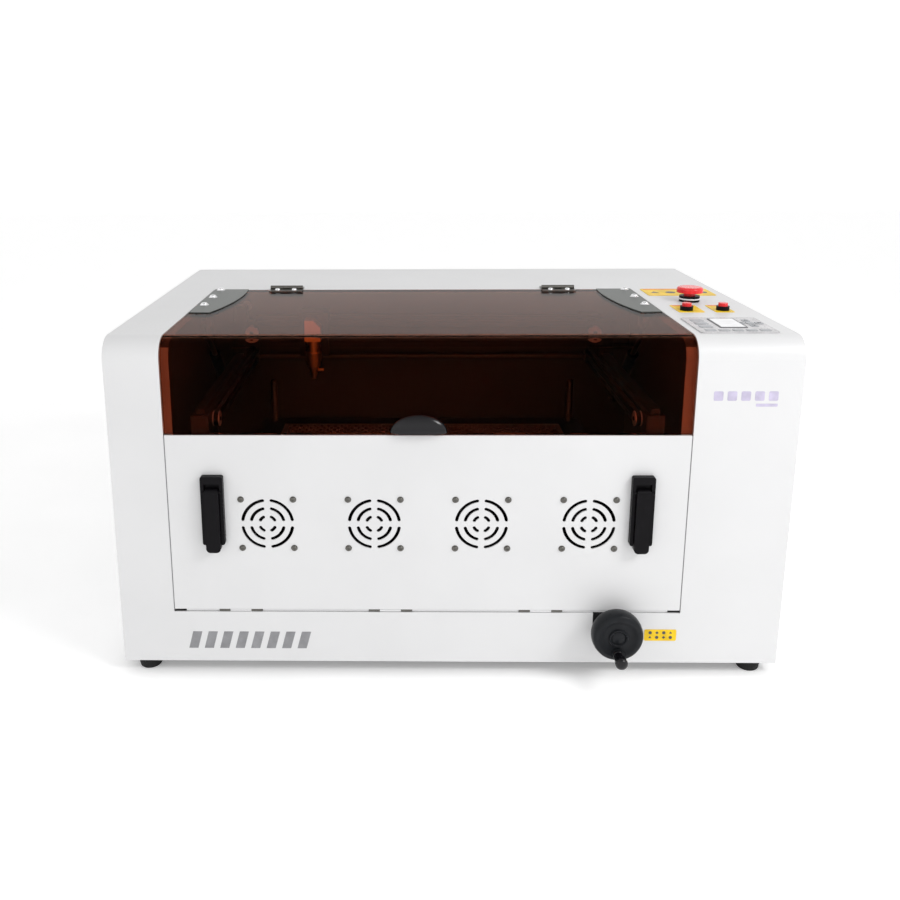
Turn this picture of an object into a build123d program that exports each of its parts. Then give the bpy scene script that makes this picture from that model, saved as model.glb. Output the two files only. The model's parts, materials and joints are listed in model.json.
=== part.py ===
from build123d import *
import os
from math import atan2, degrees, hypot

# Desktop CO2 laser engraver. Millimetres. X to the right, Y to the back, Z up.
# The origin is on the floor, under the centre of the cabinet. Pairs are (low, high).

# ---- cabinet ----
CABINET_W = 922.0
CABINET_D = 600.0
FOOT_H = 18.0
CABINET_H = 470.0
SHEET = 2.0
BEND_R = 30.0
HALF_W = CABINET_W / 2
INNER_W = HALF_W - SHEET
FRONT = -CABINET_D / 2
BACK = CABINET_D / 2
FLOOR = FOOT_H + SHEET
TOP = FOOT_H + CABINET_H
STICK_OUT = 70.0              # the handwheel's grip in front, the exhaust spigot behind

# ---- front opening, shared by the lid and the drop-down door ----
BAY_X = -32.0                 # middle of the work bay, left of the cabinet's middle
BAY_HALF = 352.75
BAY = (BAY_X - BAY_HALF, BAY_X + BAY_HALF)
GAP = 1.5
OPENING = (BAY[0] - GAP, BAY[1] + GAP)
LID_T = 5.0
LID_BACK = 71.0
LID_LOW = 357.5
DOOR = (99.2, 355.5)
BEAM_TOP = 94.8
LAND_DEPTH = 6.0              # the land that the lid closes on lies this far behind the skin
LAND_W = 13.0
LAND = (BAY[0] + LAND_W - 3, BAY[1] - LAND_W)

# ---- inner walls ----
WALL_LEFT = -400.0
WALL_RIGHT = 334.0
PARTITION_Y = 110.0

# ---- lid hinges, gas struts ----
LID_AXIS = (LID_BACK, TOP + 4.0)
LID_HINGES = (BAY_X - 230, BAY_X + 230)
LID_HINGE_W = 55.0
STRUT_X = (BAY_X - 333, BAY_X + 333)
STRUT_FOOT = (60.0, 300.0)
STRUT_EYE = (-110.0, 468.0)
STRUT_REST = hypot(STRUT_EYE[0] - STRUT_FOOT[0], STRUT_EYE[1] - STRUT_FOOT[1])

# ---- door hinges, latches, fans ----
DOOR_AXIS = (FRONT + 2.1, 97.0)
DOOR_KNUCKLE_R = 2.0
DOOR_PIN_R = 1.0
DOOR_HINGES = (-292.0, -82.0, 128.0)
LATCH_X = (BAY_X - 291, BAY_X + 291)
LATCH_W = 30.5
LATCH_Z = (200.4, 299.5)
FAN_MIDDLE = -30.2
FAN_STEP = 146.4
FAN_X = [FAN_MIDDLE + FAN_STEP * k for k in (-1.5, -0.5, 0.5, 1.5)]
FAN_Z = 228.0
FAN_SIZE = 80.0
FAN_T = 25.0
BLADE_TILT = 38
FAN_HOLES = 71.5
FAN_Y = (FRONT + SHEET, FRONT + SHEET + FAN_T)

# ---- table and its lift ----
TABLE_Y = -80.0
SCREW_X = (BAY_X - 260, BAY_X + 260)
SCREW_Y = (TABLE_Y - 165, TABLE_Y + 165)
SCREW_R = 6.0
SCREW_JOURNAL_R = 5.0
SCREW_TOP = 325.0
PULLEY_R = 12.0
BELT_Z = (40.3, 47.7)
TABLE_Z = (232.0, 250.0)
HONEYCOMB_T = 15.0
RUN = 0.05                    # radial running clearance of a shaft in its bearing
FREE = 0.3                    # free gap between moving curved faces
WHEEL_X = SCREW_X[1]
WHEEL_Z = 80.4
WHEEL_R = 35.0
WHEEL_Y = (FRONT - 43, FRONT - 19)
GRIP_R = 24.0

# ---- gantry ----
RAIL_X = (-338.0, 274.0)
RAIL_Z = (380.0, 388.0)
Y_BELT_X = (RAIL_X[0] + 18, RAIL_X[1] - 18)
IDLER_Y = FRONT + 36
BELT_T = 1.3
GANTRY_Y = 48.0
BEAM_Z = (398.0, 438.0)
BEAM_X = (-352.0, 288.0)
SHAFT_Y = 86.0
SHAFT_Z = 368.0
TOOTHED_R = 8.0
HEAD_X = -212.0
X_BELT_Z = 420.0
X_PULLEYS = (-318.0, 256.0)

# ---- tube bay and duct ----
TUBE_Y = 205.0
TUBE_Z = 400.0
TUBE_R = 25.0
TUBE_X = (-300.0, 400.0)
DUCT_X = 0.0
DUCT_Z = 170.0
DUCT_R = 50.0
ROCKER = (390.0, BACK - 2, 103.0)
ROCKER_R = 7.7

# ---- controls on the right of the top ----
ESTOP = (386.7, -38.3)
BUTTONS = ((359.7, -114.0), (413.5, -114.0))
LABEL_T = 0.8
ESTOP_LABEL = ((336.0, 446.0), (9.0, 70.0))
BUTTON_LABELS = ((345.0, 383.0), (399.0, 427.0))
BUTTON_LABEL_Y = (-129.0, -75.0)
DOOR_LABEL = ((274.0, 318.5), (52.7, 69.7))
PANEL_X = (333.0, 438.0)
PANEL_Y = (-270.0, -172.0)


# ================= helpers =================
def block(x, y, z):
    """A rectangular block between three pairs of limits."""
    centre = [(low + high) / 2 for low, high in (x, y, z)]
    size = [high - low for low, high in (x, y, z)]
    return Pos(*centre) * Box(*size)


def around(centre, half):
    """The pair of limits at equal distances each side of a centre."""
    return (centre - half, centre + half)


def rod(radius, start, end):
    """A round bar from one point to another."""
    run = Vector(*end) - Vector(*start)
    return Solid.make_cylinder(radius, run.length, Plane(origin=start, z_dir=run.normalized()))


def tube(outer, inner, start, end):
    """A round tube from one point to another."""
    return rod(outer, start, end) - rod(inner, start, end)


def cabinet_block(x, depth, low, back):
    """The cabinet's outline from `depth` behind its skin, with the rounded top front edge."""
    solid = block(x, (FRONT + depth, back), (low, TOP - depth))
    edge = solid.edges().filter_by(Axis.X).sort_by(Axis.Z)[-2:].sort_by(Axis.Y)[0]
    return fillet(edge, BEND_R - depth)


def bent_sheet(x, depth, thickness, low, back):
    """A sheet that follows the front, the rounded edge and the top, `depth` behind the skin."""
    wide = (x[0] - 1, x[1] + 1)
    outer = cabinet_block(x, depth, low, back)
    return outer - cabinet_block(wide, depth + thickness, low - 1, back + 1)


def rounded_prism(outline, z):
    """A flat plate from a face drawn in XY, between two heights."""
    return Pos(0, 0, z[0]) * extrude(outline, z[1] - z[0])


def upright(outline, y):
    """A plate from a face drawn in XZ, between two depths."""
    return extrude(Plane(origin=(0, y[0], 0), x_dir=(1, 0, 0), z_dir=(0, -1, 0)) * outline, y[0] - y[1])


# ================= cabinet =================
def main_cover():
    cover = bent_sheet((-INNER_W, INNER_W), 0, SHEET, FOOT_H, BACK)
    cover -= block(OPENING, (FRONT - 1, LID_BACK + 1.0), (BEAM_TOP, TOP + 1))
    cover -= block((WHEEL_X - 27, WHEEL_X + 16), (FRONT - 1, FRONT + 3), (WHEEL_Z - 26, BEAM_TOP + 1))
    cover -= rod(14, (ESTOP[0], ESTOP[1], TOP - 3), (ESTOP[0], ESTOP[1], TOP + 1))
    for x, y in BUTTONS:
        cover -= rod(8, (x, y, TOP - 3), (x, y, TOP + 1))
    return cover


def side_panel(side):
    x = (-HALF_W, -INNER_W) if side < 0 else (INNER_W, HALF_W)
    panel = cabinet_block(x, 0, FOOT_H, BACK)
    for row in range(3):
        for column in range(8):
            y = 40 + column * 24
            z = 110 + row * 70
            panel -= block((x[0] - 1, x[1] + 1), (y, y + 8), (z, z + 50))
    return panel


def base_pan():
    outer = block((-INNER_W, INNER_W), (FRONT + SHEET, BACK - SHEET), (FOOT_H, FLOOR + 20))
    inner = block((-INNER_W + 2, INNER_W - 2), (FRONT + 4, BACK - 4), (FLOOR, FLOOR + 21))
    return outer - inner


def rear_panel():
    panel = block((-INNER_W, INNER_W), (BACK - SHEET, BACK), (FOOT_H, TOP - SHEET))
    panel -= rod(DUCT_R, (DUCT_X, BACK - 5, DUCT_Z), (DUCT_X, BACK + 5, DUCT_Z))
    panel -= block((-330, 330), (BACK - 3, BACK + 1), (335, 460))
    panel -= block(around(390, 14), (BACK - 3, BACK + 1), (66, 114))
    for x in (-390, -350):
        panel -= rod(6, (x, BACK - 5, 100), (x, BACK + 5, 100))
    return panel


def access_cover():
    """The screwed cover on the back that gives access to the laser tube."""
    cover = block((-342, 342), (BACK, BACK + 1.5), (323, 472))
    return cover


def access_screws():
    screws = []
    for x in (-335, -112, 112, 335):
        for z in (329, 466):
            screws.append(rod(4, (x, BACK + 1.5, z), (x, BACK + 4, z)))
    return screws


def opening_frame():
    """The bent strips that the lid closes on, with their stand-offs, and the strip under its rear edge."""
    strips = []
    back = LID_BACK - 13
    sides = ((WALL_LEFT - 2, LAND[0], OPENING[0] - 2), (WALL_RIGHT + 2, LAND[1], OPENING[1]))
    for outer, inner, edge in sides:
        land = bent_sheet(sorted((outer, inner)), LAND_DEPTH, SHEET, BEAM_TOP, back)
        strips.append(land + bent_sheet((edge, edge + 2), SHEET, LAND_DEPTH - SHEET, BEAM_TOP, back))
    z = (TOP - LAND_DEPTH - SHEET, TOP - LAND_DEPTH)
    rear = block((WALL_LEFT - 2, WALL_RIGHT + 2), (back, LID_BACK + 15), z)
    rear += block((WALL_LEFT - 2, WALL_RIGHT + 2), (LID_BACK + 1, LID_BACK + 3), (z[1], TOP - SHEET))
    return strips + [rear]


def inner_wall(x):
    return cabinet_block((x - 1, x + 1), LAND_DEPTH + SHEET, FLOOR, PARTITION_Y)


def partition():
    wall = block((WALL_LEFT - 1, WALL_RIGHT + 1), (PARTITION_Y, PARTITION_Y + 2), (FLOOR, TOP - SHEET))
    wall -= rod(48, (DUCT_X, PARTITION_Y - 1, DUCT_Z), (DUCT_X, PARTITION_Y + 3, DUCT_Z))
    wall -= rod(9, (RAIL_X[0], PARTITION_Y - 1, 450), (RAIL_X[0], PARTITION_Y + 3, 450))
    return wall


def rubber_feet():
    feet = []
    for x in (-430, 430):
        for y in (FRONT + 22, BACK - 22):
            foot = Pos(x, y, FOOT_H / 2) * Cone(15, 18, FOOT_H)
            feet.append(fillet(foot.edges().sort_by(Axis.Z)[0], 3))
    return feet


def exhaust_duct():
    duct = tube(DUCT_R, DUCT_R - 1.6, (DUCT_X, PARTITION_Y + 2, DUCT_Z), (DUCT_X, BACK + STICK_OUT, DUCT_Z))
    duct += tube(62, DUCT_R - 1.6, (DUCT_X, BACK, DUCT_Z), (DUCT_X, BACK + 2, DUCT_Z))
    spider = rod(18, (DUCT_X, 232, DUCT_Z), (DUCT_X, 246, DUCT_Z))
    for turn in range(3):
        arm = block((DUCT_X - 3, DUCT_X + 3), (234, 240), (DUCT_Z, DUCT_Z + DUCT_R - 1))
        spider += arm.rotate(Axis((DUCT_X, 0, DUCT_Z), (0, 1, 0)), 120 * turn)
    return duct + spider


def fan_blades(x, y, z, reach, hub, count):
    """A hub with tilted blades that turns about a line along Y."""
    rotor = rod(hub, (x, y[0], z), (x, y[1], z))
    middle = (y[0] + y[1]) / 2
    for k in range(count):
        blade = Rot(0, 0, BLADE_TILT) * Box((y[1] - y[0]) * 1.1, 1.8, reach - hub)
        blade = Pos(0, 0, (hub + reach) / 2 - 1) * blade
        blade = Pos(x, middle, z) * (Rot(0, 360 / count * k, 0) * blade)
        rotor += blade
    return rotor & rod(reach, (x, y[0], z), (x, y[1], z))


def power_inlet():
    """Mains socket and switch housing in one frame, set in the back."""
    frame = block(around(390, 14), (BACK - 28, BACK), (66, 114))
    frame += block(around(390, 20), (BACK, BACK + 3), (60, 120))
    frame -= block(around(390, 12), (BACK - 18, BACK + 4), (70, 88))
    frame -= block(around(390, 10.5), (BACK - 14, BACK + 4), (95, 111))
    for x in (383, 390, 397):
        frame += block((x - 1, x + 1), (BACK - 19, BACK - 4), (77, 81))
    return frame


def rocker():
    """A barrel that turns in its seat, with two sloped faces in front."""
    body = rod(ROCKER_R, (ROCKER[0] - 10, *ROCKER[1:]), (ROCKER[0] + 10, *ROCKER[1:]))
    for slope in (14, -14):
        away = Pos(0, 0, 10 if slope > 0 else -10) * Box(30, 10, 20)
        body -= Pos(ROCKER[0], BACK + 8.6, ROCKER[2]) * (Rot(slope, 0, 0) * away)
    return body


def water_fittings():
    return [tube(5.8, 3, (x, BACK - 20, 100), (x, BACK + 25, 100))
            + tube(10, 3, (x, BACK, 100), (x, BACK + 5, 100)) for x in (-390, -350)]


# ================= electronics and tube =================
def laser_tube():
    glass = rod(TUBE_R, (TUBE_X[0] + 20, TUBE_Y, TUBE_Z), (TUBE_X[1] - 20, TUBE_Y, TUBE_Z))
    for x, way in ((TUBE_X[0], 1), (TUBE_X[1], -1)):
        glass += rod(12, (x, TUBE_Y, TUBE_Z), (x + way * 21, TUBE_Y, TUBE_Z))
    return glass


def tube_clamps():
    clamps = []
    for x in (-200, 300):
        clamp = block(around(x, 9), around(TUBE_Y, 32), (TUBE_Z - 32, TUBE_Z + 32))
        clamp -= rod(TUBE_R, (x - 20, TUBE_Y, TUBE_Z), (x + 20, TUBE_Y, TUBE_Z))
        clamp += block(around(x, 9), around(TUBE_Y, 20), (FLOOR + 290, TUBE_Z - 31))
        clamp += block(around(x, 20), (PARTITION_Y + 2, TUBE_Y + 32), (FLOOR + 286, FLOOR + 292))
        clamps.append(clamp)
    return clamps


def mirror_mount(x, y, z, low):
    """A block with a round mirror set across the corner, on a post."""
    mount = block(around(x, 11), around(y, 11), (z - 13, z + 13))
    mount = chamfer(mount.edges().filter_by(Axis.Z).sort_by(Axis.Y)[0], 6)
    return mount + block(around(x, 7), around(y, 7), (low, z - 12))


def laser_power_supply():
    return block((348, 446), (-60, 110), (FLOOR, FLOOR + 145))


def control_board():
    board = block((337, 339), (-250, -110), (70, 230))
    for k in range(6):
        board += block((339, 349), (-240 + k * 22, -226 + k * 22), (75, 90))
    board += block((339, 352), (-200, -150), (130, 180))
    board += block((335, 337), (-190, -170), (140, 160))
    return board


# ================= controls =================
def label_plates():
    """Plates behind the emergency stop, round both buttons and low on the front."""
    plate = block(*ESTOP_LABEL, (TOP, TOP + LABEL_T))
    plates = [fillet(plate.edges().filter_by(Axis.Z), 4)]
    for (x, y), width in zip(BUTTONS, BUTTON_LABELS):
        plate = block(width, BUTTON_LABEL_Y, (TOP, TOP + LABEL_T))
        plate = fillet(plate.edges().filter_by(Axis.Z), 3)
        plates.append(plate - rod(8, (x, y, TOP - 1), (x, y, TOP + 2)))
    front = block(DOOR_LABEL[0], (FRONT - LABEL_T, FRONT), DOOR_LABEL[1])
    plates.append(fillet(front.edges().filter_by(Axis.Y), 2))
    return plates


def estop_collar():
    x, y = ESTOP
    collar = rod(15.5, (x, y, TOP), (x, y, TOP + 9)) + rod(13.8, (x, y, TOP - 40), (x, y, TOP + 1))
    return collar - rod(9, (x, y, TOP - 24), (x, y, TOP + 10))


def estop_button():
    x, y = ESTOP
    head = rod(20, (x, y, TOP + 14.5), (x, y, TOP + 23))
    head = fillet(head.edges().sort_by(Axis.Z)[-1], 4)
    return head + rod(9 - RUN, (x, y, TOP - 16), (x, y, TOP + 15))


def button_bezels():
    return [rod(9.5, (x, y, TOP + LABEL_T), (x, y, TOP + 7)) + rod(7.9, (x, y, TOP - 28), (x, y, TOP + 1))
            - rod(7, (x, y, TOP - 12), (x, y, TOP + 8)) for x, y in BUTTONS]


def push_button(x, y):
    cap = rod(7 - RUN, (x, y, TOP - 6), (x, y, TOP + 12))
    return fillet(cap.edges().sort_by(Axis.Z)[-1], 1)


def control_panel():
    panel = block(PANEL_X, PANEL_Y, (TOP, TOP + 1.6))
    panel = fillet(panel.edges().filter_by(Axis.Z), 5)
    return panel - block((369, 403), (-240, -184), (TOP + 0.8, TOP + 2))


# ================= lid =================
def lid_window():
    return bent_sheet(BAY, 0, LID_T, LID_LOW, LID_BACK - 0.5)


def lid_pull():
    """A half-domed finger pull on the lid's lower edge."""
    dome = Pos(-43, FRONT, LID_LOW + 2) * scale(Sphere(1), by=(38, 10, 25))
    return dome & block((-90, 10), (FRONT - 12, FRONT), (LID_LOW + 2, LID_LOW + 40))


def corner_plates():
    """Quarter-oval plates on the lid's two rear corners."""
    plates = []
    for side, edge in ((1, BAY[0] + 1), (-1, BAY[1] - 1)):
        low, wide, tip = (edge, LID_BACK - 2), (edge + side * 57, LID_BACK - 2), (edge + side * 31, -130)
        curve = ThreePointArc(wide, (edge + side * 54, -30), tip)
        outline = make_face([Line(low, wide), curve, Line(tip, (edge, -128)), Line((edge, -128), low)])
        plates.append(Pos(0, 0, TOP) * extrude(outline, 1.5, dir=(0, 0, 1)))
    return plates


def corner_bolts():
    bolts = []
    for x in (BAY[0] + 12.5, BAY[1] - 12.5):
        for y in (59, -9, -73):
            bolt = rod(5.5, (x, y, TOP + 1.5), (x, y, TOP + 5))
            bolts.append(fillet(bolt.edges().sort_by(Axis.Z)[-1], 3))
    return bolts


def lid_hinge(x, moving):
    """One leaf of a lid hinge with its knuckles; the lid's leaf has two, the cabinet's three."""
    y, z = LID_AXIS
    step = LID_HINGE_W / 5
    side = -1 if moving else 1
    leaf = block(around(x, LID_HINGE_W / 2), sorted((y + side * 4.2, y + side * 21)), (TOP, TOP + 2))
    for k in range(5):
        if (k % 2 == 1) == moving:
            start = x - LID_HINGE_W / 2 + k * step
            span = (start + 0.2, start + step - 0.2)
            leaf += rod(3.5, (span[0], y, z), (span[1], y, z))
            leaf += block(span, sorted((y + side * 2, y + side * 5)), (TOP + 0.6, TOP + 2.6))
    return leaf - rod(1.6 + RUN, (x - 40, y, z), (x + 40, y, z))


def lid_hinge_pins():
    y, z = LID_AXIS
    return [rod(1.6, (x - LID_HINGE_W / 2, y, z), (x + LID_HINGE_W / 2, y, z)) for x in LID_HINGES]


def hinge_screws(side):
    """Two dome screws on one leaf of each lid hinge."""
    y = LID_AXIS[0] + side * 13
    screws = []
    for x in LID_HINGES:
        for way in (-14, 14):
            screw = rod(4, (x + way, y, TOP + 2), (x + way, y, TOP + 4.5))
            screws.append(fillet(screw.edges().sort_by(Axis.Z)[-1], 2))
    return screws


def strut_point(x, distance):
    """A point on the strut's line, at a distance from its foot, with the lid closed."""
    run = (STRUT_EYE[0] - STRUT_FOOT[0], STRUT_EYE[1] - STRUT_FOOT[1])
    length = hypot(*run)
    return (x, STRUT_FOOT[0] + run[0] * distance / length, STRUT_FOOT[1] + run[1] * distance / length)


def strut_cylinder(x):
    body = rod(9, strut_point(x, 12), strut_point(x, 150))
    body += rod(8, (x - 5, *STRUT_FOOT), (x + 5, *STRUT_FOOT)) + rod(4, strut_point(x, 4), strut_point(x, 14))
    body -= rod(3 + RUN, (x - 6, *STRUT_FOOT), (x + 6, *STRUT_FOOT))
    return body - rod(4 + RUN, strut_point(x, 20), strut_point(x, 151))


def strut_rod(x):
    shaft = rod(4, strut_point(x, 24), strut_point(x, STRUT_REST - 5))
    return shaft + rod(6, (x - 4, *STRUT_EYE), (x + 4, *STRUT_EYE))


def strut_feet():
    """Brackets on the inner walls with the pins that the struts swing on."""
    feet = []
    for x, wall in ((STRUT_X[0], WALL_LEFT + 1), (STRUT_X[1], WALL_RIGHT - 1)):
        near = x + (-9.6 if x < 0 else 9.6)
        foot = block(sorted((wall, near)), around(STRUT_FOOT[0], 10), around(STRUT_FOOT[1], 10))
        feet.append(foot + rod(3, (near, *STRUT_FOOT), (2 * x - near, *STRUT_FOOT)))
    return feet


def strut_brackets():
    """Angle brackets under the lid, beside the struts' upper eyes."""
    brackets = []
    for x, way in ((STRUT_X[0], 1), (STRUT_X[1], -1)):
        y = around(STRUT_EYE[0], 14)
        angle = block(sorted((x + way * 6, x + way * 8)), y, (STRUT_EYE[1] - 8, TOP - LID_T))
        angle += block(sorted((x + way * 6, x + way * 22)), y, (TOP - LID_T - 2, TOP - LID_T))
        brackets.append(angle)
    return brackets


# ================= door =================
def grille_slots():
    """Three rings of four round-ended arc slots, as one face."""
    slots = Sketch()
    for radius in (34.4, 22.7, 11.1):
        half_bridge = degrees(atan2(3.75 + 2.25, radius))
        for quarter in range(4):
            arc = CenterArc((0, 0), radius, 90 * quarter + half_bridge, 90 - 2 * half_bridge)
            slots += SlotArc(arc, 4.5)
    return slots


def fan_corners():
    half = FAN_HOLES / 2
    return [(x + i * half, FAN_Z + j * half) for x in FAN_X for i in (-1, 1) for j in (-1, 1)]


def front_door():
    door = block(BAY, (FRONT, FRONT + SHEET), DOOR)
    slots = grille_slots()
    for x in FAN_X:
        door -= Pos(x, 0, FAN_Z) * upright(slots, (FRONT - 1, FRONT + 3))
    for x, z in fan_corners():
        door -= rod(2.1, (x, FRONT - 1, z), (x, FRONT + 3, z))
    for x in LATCH_X:
        door -= rod(9, (x, FRONT - 1, 225), (x, FRONT + 3, 225))
    for x in (BAY[0] + 17, BAY[1] - 17):
        door += block(around(x, 1), (FRONT + SHEET, FRONT + 9), (104, 346))
    return door + block((BAY[0] + 16, BAY[1] - 16), (FRONT + SHEET, FRONT + 9), (344, 346))


def fan_frame(x):
    frame = block(around(x, FAN_SIZE / 2), FAN_Y, around(FAN_Z, FAN_SIZE / 2))
    frame = fillet(frame.edges().filter_by(Axis.Y), 4)
    frame -= rod(38, (x, FAN_Y[0] - 1, FAN_Z), (x, FAN_Y[1] + 1, FAN_Z))
    spider = rod(16, (x, FAN_Y[1] - 3, FAN_Z), (x, FAN_Y[1], FAN_Z))
    for turn in (45, 135):
        spider += Pos(x, FAN_Y[1] - 1.5, FAN_Z) * (Rot(0, turn, 0) * Box(78, 3, 4))
    return frame + spider


def fan_frames():
    frames = []
    for x in FAN_X:
        frame = fan_frame(x)
        for i in (-1, 1):
            for j in (-1, 1):
                hole = (x + i * FAN_HOLES / 2, FAN_Z + j * FAN_HOLES / 2)
                frame -= rod(2.2, (hole[0], FAN_Y[0] - 1, hole[1]), (hole[0], FAN_Y[1] + 1, hole[1]))
        frames.append(frame)
    return frames


def fan_rotor(x):
    return fan_blades(x, (FAN_Y[0] + 4, FAN_Y[1] - 5), FAN_Z, 36.5, 15, 7)


def fan_screws():
    screws = []
    for x, z in fan_corners():
        head = rod(3.7, (x, FRONT - 2, z), (x, FRONT, z))
        head = fillet(head.edges().sort_by(Axis.Y)[0], 1.2)
        screws.append(head + rod(2, (x, FRONT, z), (x, FRONT + 16, z)))
    return screws


def latch_housings():
    """Surface housings of the two lever latches, each with its catch behind the door."""
    housings = []
    for x in LATCH_X:
        body = block(around(x, LATCH_W / 2), (FRONT - 9, FRONT), LATCH_Z)
        body = fillet(body.edges().filter_by(Axis.Y), 3)
        body -= block(around(x, 10.6), (FRONT - 10, FRONT - 3), (LATCH_Z[0] - 1, 289))
        body += rod(9, (x, FRONT - 3, 225), (x, FRONT + 8, 225))
        body += block(sorted((x, x + (-42 if x < BAY_X else 42))), (FRONT + 5, FRONT + 8), (219, 231))
        housings.append(body - rod(2, (x - 14, FRONT - 8.75, 277), (x + 14, FRONT - 8.75, 277)))
    return housings


def latch_pins():
    return [rod(2, (x - 14, FRONT - 8.75, 277), (x + 14, FRONT - 8.75, 277)) for x in LATCH_X]


def latch_lever(x):
    """A lever that lifts out at its lower end and swings on a pin near its top."""
    y = FRONT - 8.75
    lever = block(around(x, 10), around(y, 5.2), (191, 277)) + rod(5.2, (x - 10, y, 277), (x + 10, y, 277))
    outline = Pos(x, 191 + 46) * RectangleRounded(20, 92, 6)
    lever &= upright(outline, (y - 6, y + 6))
    return lever - rod(2 + RUN, (x - 11, y, 277), (x + 11, y, 277))


def door_hinge(moving):
    """The leaves of the door's three hinges: each door leaf has the middle knuckle."""
    y, z = DOOR_AXIS
    sheet = (FRONT + SHEET, FRONT + SHEET + 1.2)
    leaves = []
    for x in DOOR_HINGES:
        if moving:
            leaf = block(around(x, 28), sheet, (z + 2.2, z + 20)) + block(around(x, 14.7), sheet, (z, z + 3))
            leaf += rod(DOOR_KNUCKLE_R, (x - 14.7, y, z), (x + 14.7, y, z))
        else:
            leaf = block(around(x, 30), sheet, (z - 24, z - 2.2))
            for low, high in ((-30, -15), (15, 30)):
                leaf += block((x + low, x + high), sheet, (z - 3, z))
                leaf += rod(DOOR_KNUCKLE_R, (x + low, y, z), (x + high, y, z))
        leaves.append(leaf - rod(DOOR_PIN_R + RUN, (x - 31, y, z), (x + 31, y, z)))
    return leaves


def door_lips():
    """Strips on the door that close the seam under it between the hinges."""
    ends = [BAY[0] + 16]
    for x in DOOR_HINGES:
        ends += [x - 30.5, x + 30.5]
    ends.append(BAY[1] - 16)
    y = (FRONT + SHEET, FRONT + SHEET + 0.8)
    return [block(pair, y, (DOOR_AXIS[1] - 1.8, DOOR_AXIS[1] + 6)) for pair in zip(ends[::2], ends[1::2])]


def door_hinge_pins():
    y, z = DOOR_AXIS
    return [rod(DOOR_PIN_R, (x - 30, y, z), (x + 30, y, z)) for x in DOOR_HINGES]


# ================= table and lift =================
def table_frame():
    x = (SCREW_X[0] - 18, SCREW_X[1] + 18)
    y = (SCREW_Y[0] - 15, SCREW_Y[1] + 15)
    frame = block(x, y, TABLE_Z)
    frame -= block((x[0] + 38, x[1] - 38), (y[0] + 33, y[1] - 33), (TABLE_Z[0] - 1, TABLE_Z[1] + 1))
    for sx in SCREW_X:
        for sy in SCREW_Y:
            frame -= rod(9, (sx, sy, TABLE_Z[0] - 1), (sx, sy, TABLE_Z[1] + 1))
    return frame


def honeycomb():
    x = (SCREW_X[0] + 20, SCREW_X[1] - 20)
    y = (SCREW_Y[0] + 18, SCREW_Y[1] - 18)
    return block(x, y, (TABLE_Z[1] - HONEYCOMB_T, TABLE_Z[1]))


def table_nuts():
    nuts = []
    for x in SCREW_X:
        for y in SCREW_Y:
            nut = rod(14, (x, y, TABLE_Z[0] - 6), (x, y, TABLE_Z[0]))
            nut += rod(9, (x, y, TABLE_Z[0]), (x, y, TABLE_Z[1]))
            nuts.append(nut - rod(SCREW_R + FREE, (x, y, TABLE_Z[0] - 7), (x, y, TABLE_Z[1] + 1)))
    return nuts


def lead_screw(x, y):
    """A screw with its toothed pulley near the floor."""
    screw = rod(SCREW_JOURNAL_R, (x, y, FLOOR + 1), (x, y, 111))
    screw += rod(SCREW_R, (x, y, 110), (x, y, SCREW_TOP))
    screw += rod(PULLEY_R, (x, y, 38.5), (x, y, 50)) + rod(15, (x, y, 38), (x, y, 39.7))
    return screw + rod(15, (x, y, 48.3), (x, y, 50))


def lift_belt():
    width = SCREW_X[1] - SCREW_X[0]
    depth = SCREW_Y[1] - SCREW_Y[0]
    inner = PULLEY_R + FREE
    outer = inner + 1.5
    ring = RectangleRounded(width + 2 * outer, depth + 2 * outer, outer)
    ring -= RectangleRounded(width + 2 * inner, depth + 2 * inner, inner)
    return rounded_prism(Pos(sum(SCREW_X) / 2, sum(SCREW_Y) / 2) * ring, BELT_Z)


def screw_bearings():
    bearings = []
    for x in SCREW_X:
        for y in SCREW_Y:
            base = block(around(x, 18), around(y, 18), (FLOOR, FLOOR + 4))
            base += rod(12, (x, y, FLOOR), (x, y, 36))
            bearings.append(base - rod(SCREW_JOURNAL_R + RUN, (x, y, FLOOR + 0.5), (x, y, 37)))
    return bearings


def gearbox():
    """The right-angle box that turns the front right screw from the handwheel's shaft."""
    x, y = WHEEL_X, SCREW_Y[0]
    case = fillet(block(around(x, 22), around(y, 22), around(WHEEL_Z, 22)).edges(), 3)
    case += block((x + 20, x + 25), around(y, 22), (FLOOR, WHEEL_Z + 15))
    case += rod(12, (x, y - 30, WHEEL_Z), (x, y - 20, WHEEL_Z))
    case -= rod(SCREW_JOURNAL_R + RUN, (x, y, 50), (x, y, 110))
    return case - rod(5 + RUN, (x, y - 31, WHEEL_Z), (x, y - 6.5, WHEEL_Z))


def handwheel():
    x, z = WHEEL_X, WHEEL_Z
    wheel = rod(WHEEL_R, (x, WHEEL_Y[0], z), (x, WHEEL_Y[1], z))
    wheel = fillet(wheel.edges().filter_by(GeomType.CIRCLE), 5)
    wheel -= tube(28, 13, (x, WHEEL_Y[0] - 1, z), (x, WHEEL_Y[0] + 2.5, z))
    wheel += rod(7, (x, WHEEL_Y[0], z - GRIP_R), (x, WHEEL_Y[0] + 5, z - GRIP_R))
    wheel += rod(12, (x, WHEEL_Y[1] - 1, z), (x, WHEEL_Y[1] + 13, z))
    wheel -= rod(5, (x, WHEEL_Y[0] + 4, z), (x, WHEEL_Y[1] + 14, z))
    return wheel - rod(3, (x, WHEEL_Y[0] - 1, z - GRIP_R), (x, WHEEL_Y[0] + 8, z - GRIP_R))


def handwheel_shaft():
    return rod(5, (WHEEL_X, WHEEL_Y[0] + 4, WHEEL_Z), (WHEEL_X, SCREW_Y[0] - 7, WHEEL_Z))


def grip_pin():
    z = WHEEL_Z - GRIP_R
    return rod(3, (WHEEL_X, FRONT - STICK_OUT + 4, z), (WHEEL_X, WHEEL_Y[0] + 8, z))


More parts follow.
